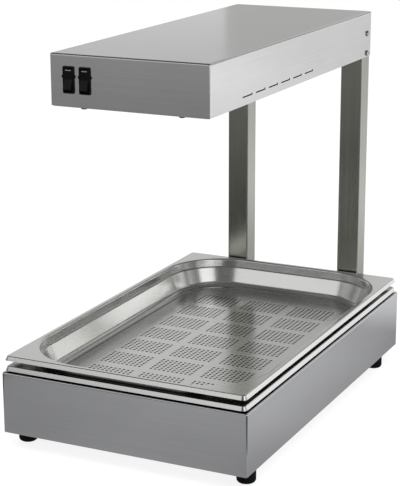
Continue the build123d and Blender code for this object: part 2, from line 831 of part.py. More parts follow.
# Rocker switches in the hood's front
rocker_width = pocket_width - 2 * fit
pivot_y = hood_front + pivot_depth
for name, x in zip(sides, switch_x):
    with BuildPart() as switch_housing:
        with BuildSketch(Plane.XZ.offset(-hood_front)):
            with Locations((x, switch_z)):
                RectangleRounded(bezel_width, bezel_height, bezel_round)
        extrude(amount=bezel_thickness)
        fillet(switch_housing.edges().group_by(Axis.Y)[0], 0.3 * bezel_thickness)
        with BuildSketch(Plane.XZ.offset(-hood_front)):
            with Locations((x, switch_z + bezel_ear_rise)):
                Ellipse(bezel_width / 2 + bezel_ear, bezel_ear_height / 2)
        extrude(amount=0.7 * bezel_thickness)
        body_x = (x - switch_body_width / 2, x + switch_body_width / 2)
        body_z = (switch_z - switch_body_height / 2, switch_z + switch_body_height / 2)
        span(body_x, (hood_front, hood_front + switch_body_depth), body_z)
        span(
            (x - pocket_width / 2, x + pocket_width / 2),
            (hood_front - bezel_thickness, hood_front + pocket_depth),
            (switch_z - pocket_height / 2, switch_z + pocket_height / 2),
            mode=Mode.SUBTRACT,
        )
        bore([(x, pivot_y, switch_z)], (1, 0, 0), pivot_pin + 2 * screw_play, pocket_width + switch_wall)
    save(switch_housing, f"switch_housing_{name}")

    # the rocker at rest has its upper face level with the hood and its lower face standing out
    with BuildPart() as rocker:
        with BuildSketch(Plane.YZ.offset(x - rocker_width / 2)):
            with Locations((pivot_y, switch_z)):
                Circle(rocker_reach)
                rise = rocker_face + 2 * rocker_reach * tan(radians(rocker_tilt))
                Polygon(
                    (-rocker_face, 0),
                    (-rise, 2 * rocker_reach),
                    (rocker_back, 2 * rocker_reach),
                    (rocker_back, -2 * rocker_reach),
                    (-rise, -2 * rocker_reach),
                    rotation=-rocker_tilt,
                    align=None,
                    mode=Mode.INTERSECT,
                )
        extrude(amount=rocker_width)
        fillet(rocker.edges().filter_by(Axis.X).group_by(Axis.Y)[0], 0.06 * rocker_reach)
        with Locations(Plane((x, pivot_y, switch_z), z_dir=(1, 0, 0))):
            Cylinder(pivot_pin / 2, pocket_width + switch_wall - 2 * screw_play)
    save(rocker, f"rocker_{name}")

blade_y = hood_front + switch_body_depth
with BuildPart() as switch_blades:
    for x in switch_x:
        for z in (switch_z - blade_spread, switch_z + blade_spread):
            span(
                (x - blade_width / 2, x + blade_width / 2),
                (blade_y, blade_y + blade_length),
                (z - blade_thickness / 2, z + blade_thickness / 2),
            )
save(switch_blades, "switch_blades")

# Hood terminal block and the leads that end in it
block_low = switch_x[0] - hood_block_margin
block_high = switch_x[-1] + hood_block_margin
block_rear = notch_y - hood_block_margin
block_y = (block_rear - hood_block_depth, block_rear)
block_middle = block_rear - hood_block_depth / 2
block_top = hood_bottom + block_height
with BuildPart() as hood_terminal_block:
    span((block_low, block_high), block_y, (hood_bottom, block_top))
save(hood_terminal_block, "hood_terminal_block")


def lead(points, diameter, bend):
    # a round lead along straight runs joined by arcs
    with BuildLine(mode=Mode.PRIVATE) as route:
        FilletPolyline(*points, radius=bend)
    with BuildSketch(route.line ^ 0, mode=Mode.PRIVATE) as section:
        Circle(diameter / 2)
    sweep(section.sketch, path=route.line)


blade_end = blade_y + blade_length
upper_blade = switch_z + blade_spread
lower_blade = switch_z - blade_spread
feed_x = switch_x[0] - lead_diameter / 2 - screw_play / 2
jumper_x = (switch_x[0] + lead_diameter / 2 + screw_play / 2, switch_x[1])
with BuildPart() as switch_wiring:
    for x, y, z in (
        (switch_x[0], block_middle + lead_step / 2, upper_blade),
        (switch_x[1], block_middle + lead_step / 2, upper_blade),
        (feed_x, block_middle - lead_step / 2, lower_blade),
    ):
        lead([(x, blade_end, z), (x, y, z), (x, y, block_top)], lead_diameter, lead_bend / 2)
    lead(
        [
            (jumper_x[0], blade_end, lower_blade),
            (jumper_x[0], blade_end + jumper_reach, lower_blade),
            (jumper_x[1], blade_end + jumper_reach, lower_blade),
            (jumper_x[1], blade_end, lower_blade),
        ],
        lead_diameter,
        lead_bend / 2,
    )
save(switch_wiring, "switch_wiring")

common_y = reflector_front - common_lead_gap
common_x = block_high - lead_diameter
common_z = trough_top + lead_bend
with BuildPart() as lamp_wiring:
    for x, y in zip(lamp_x, (block_middle - lead_step / 4, block_middle + lead_step / 4)):
        route = [(x, lamp_mouth_y[1], lamp_z), (x, y, lamp_z), (block_high, y, lamp_z)]
        lead(route, lead_diameter, lead_bend)
    lead(
        [
            (lamp_x[0], lamp_mouth_y[0], lamp_z),
            (lamp_x[0], common_y, lamp_z),
            (lamp_x[0], common_y, common_z),
            (lamp_x[0], block_middle, common_z),
            (common_x, block_middle, common_z),
            (common_x, block_middle, block_top),
        ],
        lead_diameter,
        lead_bend,
    )
save(lamp_wiring, "lamp_wiring")

# Heat shield, element and its saddles on the base plate
shield_width = pan_width - 2 * shield_side_gap
shield_length = pan_length - 2 * shield_end_gap
shield_top = casing_bottom + shield_height
shield_rear = pan_y + shield_length / 2
with BuildPart() as heat_shield:
    with Locations((0, pan_y, casing_bottom)):
        Box(
            shield_width,
            shield_length,
            shield_height,
            align=(Align.CENTER, Align.CENTER, Align.MIN),
        )
        Box(
            shield_width - 2 * shield_sheet,
            shield_length,
            shield_height - shield_sheet,
            align=(Align.CENTER, Align.CENTER, Align.MIN),
            mode=Mode.SUBTRACT,
        )
save(heat_shield, "heat_shield")

element_length = shield_length - 2 * element_end_gap
element_run = (shield_width - 2 * element_side_gap) / 3
element_bend = element_bend_share * element_run
run_x = [(i - 1.5) * element_run for i in range(4)]
element_front = pan_y - element_length / 2
element_rear = pan_y + element_length / 2
with BuildPart() as base_element:
    lead(
        [
            (run_x[0], element_rear, cable_z),
            (run_x[0], element_front, cable_z),
            (run_x[1], element_front, cable_z),
            (run_x[1], element_rear, cable_z),
            (run_x[2], element_rear, cable_z),
            (run_x[2], element_front, cable_z),
            (run_x[3], element_front, cable_z),
            (run_x[3], element_rear, cable_z),
        ],
        element_diameter,
        element_bend,
    )
save(base_element, "base_element")

saddle_y = element_length / 4
with BuildPart() as element_saddles:
    for x in run_x:
        for y in (pan_y - saddle_y, pan_y + saddle_y):
            span(
                (x - saddle_width / 2, x + saddle_width / 2),
                (y - saddle_length / 2, y + saddle_length / 2),
                (shield_top, cable_z + element_diameter / 2 + saddle_cap),
            )
            bore([(x, y, cable_z)], (0, 1, 0), element_diameter + 2 * screw_play, 2 * saddle_length)
save(element_saddles, "element_saddles")

cutout_y = (element_rear + element_diameter / 2 + shield_rear) / 2
with BuildPart() as thermal_cutout:
    with Locations((0, cutout_y, shield_top)):
        Cylinder(cutout_diameter / 2, cutout_height, align=(Align.CENTER, Align.CENTER, Align.MIN))
        fillet(thermal_cutout.edges().group_by(Axis.Z)[-1], 0.1 * cutout_height)
        Box(
            1.6 * cutout_diameter,
            0.4 * cutout_diameter,
            shield_sheet,
            align=(Align.CENTER, Align.CENTER, Align.MIN),
        )
save(thermal_cutout, "thermal_cutout")

# Base terminal block, leads from the element, and the cable that comes down the left post
base_block_y = (shield_rear + base_block_setback, shield_rear + base_block_setback + base_block_depth)
base_block_middle = (base_block_y[0] + base_block_y[1]) / 2
base_block_half = base_block_width / 2
with BuildPart() as base_terminal_block:
    span(
        (-base_block_half, base_block_half),
        base_block_y,
        (casing_bottom, casing_bottom + block_height),
    )
save(base_terminal_block, "base_terminal_block")

with BuildPart() as element_leads:
    for x, end in ((run_x[0], -base_block_half), (run_x[3], base_block_half)):
        lead(
            [
                (x, element_rear, cable_z),
                (x, base_block_middle - lead_step / 2, cable_z),
                (end, base_block_middle - lead_step / 2, cable_z),
            ],
            lead_diameter,
            lead_bend,
        )
    cutout_edge = cutout_y + 0.4 * cutout_diameter
    for x in (-0.2 * cutout_diameter, 0.2 * cutout_diameter):
        with Locations(Plane((x, cutout_edge, shield_top + cutout_height / 2), z_dir=(0, 1, 0))):
            Cylinder(
                lead_diameter / 2,
                base_block_y[0] - cutout_edge,
                align=(Align.CENTER, Align.CENTER, Align.MIN),
            )
    add(thermal_cutout.part, mode=Mode.SUBTRACT)
save(element_leads, "element_leads")

cable_y = base_block_middle + lead_step / 2
with BuildPart() as post_wiring:
    lead(
        [
            (cable_x, block_rear, hood_block_height),
            (cable_x, post_y, hood_block_height),
            (cable_x, post_y, cable_z),
            (cable_x, cable_y, cable_z),
            (-base_block_half, cable_y, cable_z),
        ],
        cable_diameter,
        cable_bend,
    )
save(post_wiring, "post_wiring")

# Earth stud on the base plate and the tag that ties it to the block
earth_y = base_block_middle + lead_step / 4
with BuildPart() as earth_bolt:
    with Locations((earth_x, earth_y, casing_bottom)):
        Cylinder(earth_stud / 2, earth_height, align=(Align.CENTER, Align.CENTER, Align.MIN))
    with BuildSketch(Plane.XY.offset(casing_bottom)):
        with Locations((earth_x, earth_y)):
            RegularPolygon(earth_nut / 2, 6, major_radius=False)
    extrude(amount=earth_nut_height)
save(earth_bolt, "earth_stud")

tag_z = casing_bottom + earth_nut_height
with BuildPart() as earth_lead:
    with Locations((earth_x, earth_y, tag_z)):
        Cylinder(earth_tag / 2, plate_sheet, align=(Align.CENTER, Align.CENTER, Align.MIN))
    with Locations(Plane((base_block_half, earth_y, tag_z + lead_diameter / 2), z_dir=(1, 0, 0))):
        Cylinder(
            lead_diameter / 2,
            earth_x - base_block_half - 0.4 * earth_tag,
            align=(Align.CENTER, Align.CENTER, Align.MIN),
        )
    bore([(earth_x, earth_y, tag_z)], (0, 0, 1), earth_stud + 2 * screw_play, 4 * lead_diameter)
save(earth_lead, "earth_lead")

# Cable gland in the rear wall, with its locknut inside
with BuildPart() as cable_gland:
    with BuildSketch(Plane.XZ.offset(-base_rear)):
        with Locations((gland_x, gland_z)):
            RegularPolygon(gland_hex / 2, 6, major_radius=False)
    extrude(amount=-gland_hex_height)
    with Locations(Plane((gland_x, base_rear + gland_hex_height, gland_z), z_dir=(0, 1, 0))):
        Cylinder(
            gland_dome_diameter / 2,
            gland_dome_length,
            align=(Align.CENTER, Align.CENTER, Align.MIN),
        )
    fillet(cable_gland.edges().group_by(Axis.Y)[-1], 0.15 * gland_dome_diameter)
    with Locations(Plane((gland_x, base_rear, gland_z), z_dir=(0, -1, 0))):
        Cylinder(
            gland_thread / 2,
            base_sheet + gland_nut_height + gland_tail,
            align=(Align.CENTER, Align.CENTER, Align.MIN),
        )
    gland_length = gland_hex_height + gland_dome_length
    bore([(gland_x, base_rear, gland_z)], (0, 1, 0), gland_bore, 4 * gland_length)
save(cable_gland, "cable_gland")

set_in_places(
    hex_nut(gland_thread + 2 * screw_play, gland_nut_height, gland_hex),
    [Plane((gland_x, wall_inside, gland_z), z_dir=(0, -1, 0))],
    "gland_locknut",
)
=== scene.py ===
import math

import bmesh
import bpy
from mathutils import Matrix, Vector
from mathutils.geometry import delaunay_2d_cdt


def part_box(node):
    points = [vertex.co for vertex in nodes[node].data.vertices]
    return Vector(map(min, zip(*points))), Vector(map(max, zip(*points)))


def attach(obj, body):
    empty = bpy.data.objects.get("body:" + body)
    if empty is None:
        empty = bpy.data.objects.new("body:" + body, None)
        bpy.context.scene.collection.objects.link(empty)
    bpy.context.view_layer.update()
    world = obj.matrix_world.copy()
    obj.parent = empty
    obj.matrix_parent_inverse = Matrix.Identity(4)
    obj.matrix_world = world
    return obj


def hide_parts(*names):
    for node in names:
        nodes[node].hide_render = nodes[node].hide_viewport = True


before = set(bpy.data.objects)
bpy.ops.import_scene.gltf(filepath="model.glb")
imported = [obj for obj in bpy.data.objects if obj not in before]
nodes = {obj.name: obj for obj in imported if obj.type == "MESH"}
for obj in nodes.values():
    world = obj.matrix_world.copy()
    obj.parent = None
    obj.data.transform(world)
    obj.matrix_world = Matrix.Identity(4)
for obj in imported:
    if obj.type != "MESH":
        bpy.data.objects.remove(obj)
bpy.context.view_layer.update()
print("frame loaded with", len(nodes), "nodes")

# camera, as the photograph was taken
cameraSpot = {
    "place": (0.86288, -1.84654, 0.77526),
    "turn": 25.809,  # degrees round from the front, to the right
    "lookDown": 15.348,
    "roll": -0.158,
    "lens": 116.647,
    "clip": (0.05, 60),
}


def setCamera(spot):
    turn, down, roll = (math.radians(spot[key]) for key in ("turn", "lookDown", "roll"))
    back = Vector((math.sin(turn) * math.cos(down), -math.cos(turn) * math.cos(down), math.sin(down)))
    right = Vector((math.cos(turn), math.sin(turn), 0))
    up = back.cross(right)
    tiltedRight = right * math.cos(roll) + up * math.sin(roll)
    tiltedUp = up * math.cos(roll) - right * math.sin(roll)
    data = bpy.data.cameras.new("camera")
    data.lens = spot["lens"]
    data.clip_start, data.clip_end = spot["clip"]
    camera = bpy.data.objects.new("camera", data)
    turned = Matrix((tiltedRight, tiltedUp, back)).transposed()
    camera.matrix_world = Matrix.Translation(spot["place"]) @ turned.to_4x4()
    bpy.context.scene.collection.objects.link(camera)
    bpy.context.scene.camera = camera


setCamera(cameraSpot)
print("camera set")


# small helpers for node trees
noiseLow, noiseHigh = 0.3, 0.7  # where most of a noise lies
hollowSamples = 8
smudgeShare = 0.5
plainShine = 0.5
steelGrainDepth = 0.0004
mouldedGrainDepth = 0.0003
plainWhite = (1, 1, 1, 1)


def newLook(name):
    look = bpy.data.materials.new(name)
    look.use_nodes = True
    return look, look.node_tree, look.node_tree.nodes["Principled BSDF"]


def emptyLook(name):
    look, tree = newLook(name)[:2]
    tree.nodes.clear()
    return look, tree


def addNode(tree, kind, values=(), **settings):
    node = tree.nodes.new(kind)
    for key, value in settings.items():
        setattr(node, key, value)
    for key, value in dict(values).items():
        node.inputs[key].default_value = value
    return node


def rampOf(tree, source, stops):
    ramp = addNode(tree, "ShaderNodeValToRGB")
    while len(ramp.color_ramp.elements) < len(stops):
        ramp.color_ramp.elements.new(0.5)
    for element, (spot, colour) in zip(ramp.color_ramp.elements, stops):
        element.position = spot
        element.color = (*colour, 1)
    tree.links.new(source, ramp.inputs["Fac"])
    return ramp.outputs["Color"]


def rangeOf(tree, source, low, high, fromLow=noiseLow, fromHigh=noiseHigh):
    spread = addNode(
        tree,
        "ShaderNodeMapRange",
        {"From Min": fromLow, "From Max": fromHigh, "To Min": low, "To Max": high},
    )
    tree.links.new(source, spread.inputs["Value"])
    return spread.outputs["Result"]


def stretchedNoise(tree, coords, stretch, detail=3.0, roughness=0.6):
    mapping = addNode(tree, "ShaderNodeMapping", {"Scale": stretch})
    noise = addNode(tree, "ShaderNodeTexNoise", {"Scale": 1.0, "Detail": detail, "Roughness": roughness})
    tree.links.new(coords, mapping.inputs["Vector"])
    tree.links.new(mapping.outputs["Vector"], noise.inputs["Vector"])
    return noise.outputs["Fac"]


def blendOf(tree, share, first, second):  # share is a number or comes from a node
    blend = addNode(tree, "ShaderNodeMix", data_type="FLOAT")
    if isinstance(share, float):
        blend.inputs[0].default_value = share
    else:
        tree.links.new(share, blend.inputs[0])
    tree.links.new(first, blend.inputs[2])
    tree.links.new(second, blend.inputs[3])
    return blend.outputs[0]


def deepToPale(tree, source, finish):
    return rampOf(tree, source, [(noiseLow, finish["deep"]), (noiseHigh, finish["pale"])])


def addBump(tree, shader, height, strength, distance):
    bump = addNode(tree, "ShaderNodeBump", {"Strength": strength, "Distance": distance})
    tree.links.new(height, bump.inputs["Height"])
    tree.links.new(bump.outputs["Normal"], shader.inputs["Normal"])


# brushed and polished sheet steel: grain lines, slow clouding, a little wear in the gloss, and painted shade
# in narrow gaps
def steelLook(name, finish):
    look, tree, shader = newLook(name)
    coords = addNode(tree, "ShaderNodeTexCoord").outputs["Object"]
    sideGrain = stretchedNoise(tree, coords, finish["sideGrain"])
    topGrain = stretchedNoise(tree, coords, finish["topGrain"])
    normal = addNode(tree, "ShaderNodeSeparateXYZ")
    tree.links.new(addNode(tree, "ShaderNodeNewGeometry").outputs["Normal"], normal.inputs["Vector"])
    level = addNode(tree, "ShaderNodeMath", operation="ABSOLUTE")
    tree.links.new(normal.outputs["Z"], level.inputs[0])
    grain = blendOf(tree, level.outputs[0], sideGrain, topGrain)
    cloud = stretchedNoise(tree, coords, finish["cloud"], detail=4.0, roughness=0.55)
    blend = blendOf(tree, finish["grainShare"], cloud, grain)
    colour = deepToPale(tree, blend, finish)
    if "paintedGapShade" in finish:  # painted shade: darker colour in narrow gaps and crevices, where shade falls
        reach = {"Distance": finish["paintedGapShadeReach"]}
        hollow = addNode(tree, "ShaderNodeAmbientOcclusion", reach, samples=hollowSamples)
        gapShadeTint = rampOf(tree, hollow.outputs["AO"], [(low, (shade,) * 3) for low, shade in finish["paintedGapShade"]])
        shadedColour = addNode(tree, "ShaderNodeMix", {0: 1.0}, data_type="RGBA", blend_type="MULTIPLY")
        tree.links.new(colour, shadedColour.inputs[6])  # the sockets for colours
        tree.links.new(gapShadeTint, shadedColour.inputs[7])
        colour = shadedColour.outputs[2]
    tree.links.new(colour, shader.inputs["Base Color"])
    tree.links.new(rangeOf(tree, blend, *finish["gloss"]), shader.inputs["Roughness"])
    shader.inputs["Metallic"].default_value = 1.0
    addBump(tree, shader, grain, finish["bump"], steelGrainDepth)
    return look


# plastics, rubber, ceramic, sleeves and paint: speckle in the colour, fine moulded grain
def mouldedLook(name, finish):
    look, tree, shader = newLook(name)
    coords = addNode(tree, "ShaderNodeTexCoord").outputs["Object"]
    speckle = stretchedNoise(tree, coords, (finish["speckle"],) * 3, detail=5.0, roughness=0.65)
    smudge = stretchedNoise(tree, coords, (finish["smudge"],) * 3, detail=2.0, roughness=0.5)
    colour = deepToPale(tree, blendOf(tree, smudgeShare, speckle, smudge), finish)
    tree.links.new(colour, shader.inputs["Base Color"])
    tree.links.new(rangeOf(tree, smudge, *finish["gloss"]), shader.inputs["Roughness"])
    shader.inputs["Specular IOR Level"].default_value = finish.get("shine", plainShine)
    addBump(tree, shader, speckle, finish["bump"], mouldedGrainDepth)
    return look


casingSteel = {
    "deep": (0.62, 0.62, 0.62),
    "pale": (0.70, 0.70, 0.70),
    "sideGrain": (6, 6, 520),
    "topGrain": (520, 6, 6),
    "cloud": (7, 7, 9),
    "grainShare": 0.45,
    "gloss": (0.10, 0.17),
    "bump": 0.02,
    # painted shade in gaps: colour multiplied down where ambient occlusion is low
    "paintedGapShade": [(0.0, 0.02), (0.35, 0.25), (0.7, 1.0)],
    "paintedGapShadeReach": 0.010,
}
baseSteel = dict(casingSteel, deep=(0.61, 0.615, 0.64), pale=(0.685, 0.69, 0.715))
postSteel = {
    "deep": (0.33, 0.33, 0.295),
    "pale": (0.41, 0.41, 0.37),
    "sideGrain": (620, 620, 7),
    "topGrain": (520, 520, 6),
    "cloud": (20, 20, 9),
    "grainShare": 0.6,
    "gloss": (0.20, 0.28),
    "bump": 0.04,
}
panSteel = {
    "deep": (0.76, 0.76, 0.75),
    "pale": (0.83, 0.83, 0.82),
    "sideGrain": (5, 5, 400),
    "topGrain": (9, 300, 9),
    "cloud": (9, 9, 12),
    "grainShare": 0.4,
    "gloss": (0.17, 0.23),
    "bump": 0.008,
    # painted shade in gaps: colour multiplied down where ambient occlusion is low
    "paintedGapShade": [(0.0, 0.02), (0.40, 0.08), (0.60, 0.6), (0.72, 1.0)],
    "paintedGapShadeReach": 0.016,
}
# painted shade: near-black hole walls stand in for the shade inside the holes
holeWallPaintedShade = {
    "deep": (0.025, 0.024, 0.022),
    "pale": (0.060, 0.058, 0.054),
    "sideGrain": (900, 900, 300),
    "topGrain": (900, 900, 300),
    "cloud": (200, 200, 200),
    "grainShare": 0.5,
    "gloss": (0.45, 0.6),
    "bump": 0.05,
}
plateSteel = {
    "deep": (0.55, 0.55, 0.55),
    "pale": (0.66, 0.66, 0.65),
    "sideGrain": (6, 6, 420),
    "topGrain": (6, 420, 6),
    "cloud": (9, 9, 9),
    "grainShare": 0.5,
    "gloss": (0.3, 0.42),
    "bump": 0.05,
}
screwSteel = {
    "deep": (0.48, 0.48, 0.48),
    "pale": (0.68, 0.68, 0.67),
    "sideGrain": (300, 300, 900),
    "topGrain": (700, 700, 300),
    "cloud": (150, 150, 150),
    "grainShare": 0.5,
    "gloss": (0.22, 0.36),
    "bump": 0.06,
}
# painted shade: a darker copy of the screw steel, for screws that sit in the shade under the hood
screwPaintedShade = dict(screwSteel, deep=(0.10, 0.10, 0.10), pale=(0.20, 0.20, 0.195))
reflectorMetal = {
    "deep": (0.78, 0.79, 0.80),
    "pale": (0.88, 0.885, 0.89),
    "sideGrain": (4, 4, 380),
    "topGrain": (380, 4, 4),
    "cloud": (14, 14, 14),
    "grainShare": 0.5,
    "gloss": (0.12, 0.22),
    "bump": 0.03,
}
guardWire = {
    "deep": (0.60, 0.60, 0.61),
    "pale": (0.74, 0.74, 0.75),
    "sideGrain": (200, 200, 200),
    "topGrain": (200, 200, 200),
    "cloud": (60, 60, 60),
    "grainShare": 0.5,
    "gloss": (0.1, 0.2),
    "bump": 0.02,
}
brassMetal = {
    "deep": (0.56, 0.40, 0.17),
    "pale": (0.72, 0.54, 0.25),
    "sideGrain": (300, 300, 700),
    "topGrain": (500, 500, 300),
    "cloud": (120, 120, 120),
    "grainShare": 0.5,
    "gloss": (0.24, 0.38),
    "bump": 0.05,
}
sheathMetal = {
    "deep": (0.10, 0.095, 0.09),
    "pale": (0.24, 0.22, 0.20),
    "sideGrain": (260, 260, 260),
    "topGrain": (260, 260, 260),
    "cloud": (30, 30, 30),
    "grainShare": 0.35,
    "gloss": (0.4, 0.6),
    "bump": 0.1,
}
filamentWire = {
    "deep": (0.16, 0.15, 0.15),
    "pale": (0.32, 0.31, 0.30),
    "sideGrain": (900, 900, 900),
    "topGrain": (900, 900, 900),
    "cloud": (80, 80, 80),
    "grainShare": 0.5,
    "gloss": (0.3, 0.45),
    "bump": 0.05,
}
footRubber = {
    "shine": 0.1,
    "deep": (0.004, 0.004, 0.0045),
    "pale": (0.011, 0.011, 0.0115),
    "speckle": 900,
    "smudge": 70,
    "gloss": (0.5, 0.72),
    "bump": 0.25,
}
housingPlastic = {
    "shine": 0.12,
    "deep": (0.003, 0.003, 0.003),
    "pale": (0.008, 0.008, 0.008),
    "speckle": 1400,
    "smudge": 90,
    "gloss": (0.3, 0.45),
    "bump": 0.12,
}
rockerPlastic = {
    "shine": 0.14,
    "deep": (0.003, 0.003, 0.003),
    "pale": (0.007, 0.007, 0.007),
    "speckle": 1600,
    "smudge": 120,
    "gloss": (0.2, 0.32),
    "bump": 0.05,
}
markPaint = {
    "deep": (0.30, 0.30, 0.29),
    "pale": (0.42, 0.42, 0.40),
    "speckle": 2200,
    "smudge": 300,
    "gloss": (0.4, 0.55),
    "bump": 0.05,
}
holderCeramic = {
    "deep": (0.70, 0.68, 0.63),
    "pale": (0.82, 0.80, 0.76),
    "speckle": 700,
    "smudge": 60,
    "gloss": (0.45, 0.65),
    "bump": 0.15,
}
leadSleeve = {
    "deep": (0.34, 0.31, 0.27),
    "pale": (0.52, 0.49, 0.44),
    "speckle": 1800,
    "smudge": 140,
    "gloss": (0.6, 0.8),
    "bump": 0.4,
}


# clear quartz with faint drawing lines
def quartzLook(name, finish):
    look, tree, shader = newLook(name)
    coords = addNode(tree, "ShaderNodeTexCoord").outputs["Object"]
    lines = stretchedNoise(tree, coords, finish["lines"], detail=2.0, roughness=0.5)
    colour = deepToPale(tree, lines, finish)
    tree.links.new(colour, shader.inputs["Base Color"])
    tree.links.new(rangeOf(tree, lines, *finish["gloss"]), shader.inputs["Roughness"])
    shader.inputs["Transmission Weight"].default_value = 1.0
    shader.inputs["IOR"].default_value = finish["bend"]
    addBump(tree, shader, lines, finish["bump"], finish["lineDepth"])
    return look


clearQuartz = {
    "deep": (0.90, 0.92, 0.92),
    "pale": (0.97, 0.98, 0.98),
    "lines": (300, 5, 300),
    "gloss": (0.02, 0.07),
    "bump": 0.03,
    "lineDepth": 0.0003,
    "bend": 1.46,  # of light in quartz
}

looks = {
    "casing": steelLook("casingSteel", casingSteel),
    "base": steelLook("baseSteel", baseSteel),
    "post": steelLook("postSteel", postSteel),
    "pan": steelLook("panSteel", panSteel),
    "holeShade": steelLook("holeWallPaintedShade", holeWallPaintedShade),
    "plate": steelLook("plateSteel", plateSteel),
    "screw": steelLook("screwSteel", screwSteel),
    "screwPaintedShade": steelLook("screwPaintedShade", screwPaintedShade),
    "reflector": steelLook("reflectorMetal", reflectorMetal),
    "guard": steelLook("guardWire", guardWire),
    "brass": steelLook("brassMetal", brassMetal),
    "sheath": steelLook("sheathMetal", sheathMetal),
    "filament": steelLook("filamentWire", filamentWire),
    "foot": mouldedLook("footRubber", footRubber),
    "housing": mouldedLook("housingPlastic", housingPlastic),
    "rocker": mouldedLook("rockerPlastic", rockerPlastic),
    "mark": mouldedLook("markPaint", markPaint),
    "ceramic": mouldedLook("holderCeramic", holderCeramic),
    "sleeve": mouldedLook("leadSleeve", leadSleeve),
    "quartz": quartzLook("clearQuartz", clearQuartz),
}
nodeLooks = {
    "casing": ["hood_cover"],
    "base": ["base_casing"],
    "post": ["post_left", "post_right"],
    "pan": ["lower_pan", "perforated_pan_wall", "perforated_pan_floor"],
    "plate": ["base_plate", "heat_shield", "post_backing_plate", "underside_panel", "element_saddles"],
    "screw": [
        "base_plate_screws", "foot_screws", "foot_nuts", "hood_side_screws", "post_bolts", "post_nuts",
        "reflector_screws",
    ],
    "screwPaintedShade": ["underside_screws"],
    "reflector": ["lamp_reflector"],
    "guard": ["lamp_guard"],
    "brass": ["earth_stud", "switch_blades", "thermal_cutout"],
    "sheath": ["base_element"],
    "filament": ["lamp_filaments"],
    "foot": ["foot_front_left", "foot_front_right", "foot_rear_left", "foot_rear_right"],
    "housing": [
        "switch_housing_left", "switch_housing_right", "cable_gland", "gland_locknut", "post_plug_left",
        "post_plug_right",
    ],
    "rocker": ["rocker_left", "rocker_right"],
    "ceramic": [
        "lamp_caps", "lamp_holder_front", "lamp_holder_rear", "base_terminal_block", "hood_terminal_block",
    ],
    "sleeve": ["earth_lead", "element_leads", "lamp_wiring", "post_wiring", "switch_wiring"],
    "quartz": ["quartz_tube_left", "quartz_tube_right"],
}


def dressNodes():
    dressed = set()
    for key, names in nodeLooks.items():
        for name in names:
            mesh = nodes[name].data
            mesh.materials.clear()
            mesh.materials.append(looks[key])
            dressed.add(name)
    print("nodes dressed:", len(dressed), "left bare:", sorted(set(nodes) - dressed))


dressNodes()


def meshPiece(name, points, faces, look, body):
    mesh = bpy.data.meshes.new(name)
    mesh.from_pydata(points, [], faces)
    mesh.update()
    piece = bpy.data.objects.new(name, mesh)
    bpy.context.scene.collection.objects.link(piece)
    mesh.materials.append(looks[look])
    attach(piece, body)
    return piece


def turnFacesOut(piece):
    work = bmesh.new()
    work.from_mesh(piece.data)
    bmesh.ops.recalc_face_normals(work, faces=work.faces)
    work.to_mesh(piece.data)
    work.free()


def tubeAlong(name, path, radius, sides, look, body):
    points, faces = [], []
    side = Vector((1, 0, 0))
    for i, spot in enumerate(path):
        ahead = (path[min(i + 1, len(path) - 1)] - path[max(i - 1, 0)]).normalized()
        side = (side - ahead * side.dot(ahead)).normalized()
        other = ahead.cross(side)
        for step in range(sides):
            angle = math.tau * step / sides
            points.append(spot + (side * math.cos(angle) + other * math.sin(angle)) * radius)
    for i in range(len(path) - 1):
        for step in range(sides):
            a, b = i * sides + step, i * sides + (step + 1) % sides
            faces.append((a, b, b + sides, a + sides))
    faces += [tuple(reversed(range(sides))), tuple(range(len(points) - sides, len(points)))]
    piece = meshPiece(name, points, faces, look, body)
    for face in piece.data.polygons:
        face.use_smooth = len(face.vertices) == 4
    return piece


# perforated floor of the upper pan, with every hole
perforation = {
    "corner": 0.0628,
    "blockColumns": 3,
    "blockRows": 7,
    "blockPitch": (0.0725, 0.056),
    "holeColumns": 10,
    "holeRows": 7,
    "holePitch": 0.0062,
    "holeRadius": 0.0018,
    "shift": -0.0035,  # the pattern sits a little to the front
    "holeSides": 10,
    "cornerSides": 20,
    "mergeWithin": 1e-7,
}


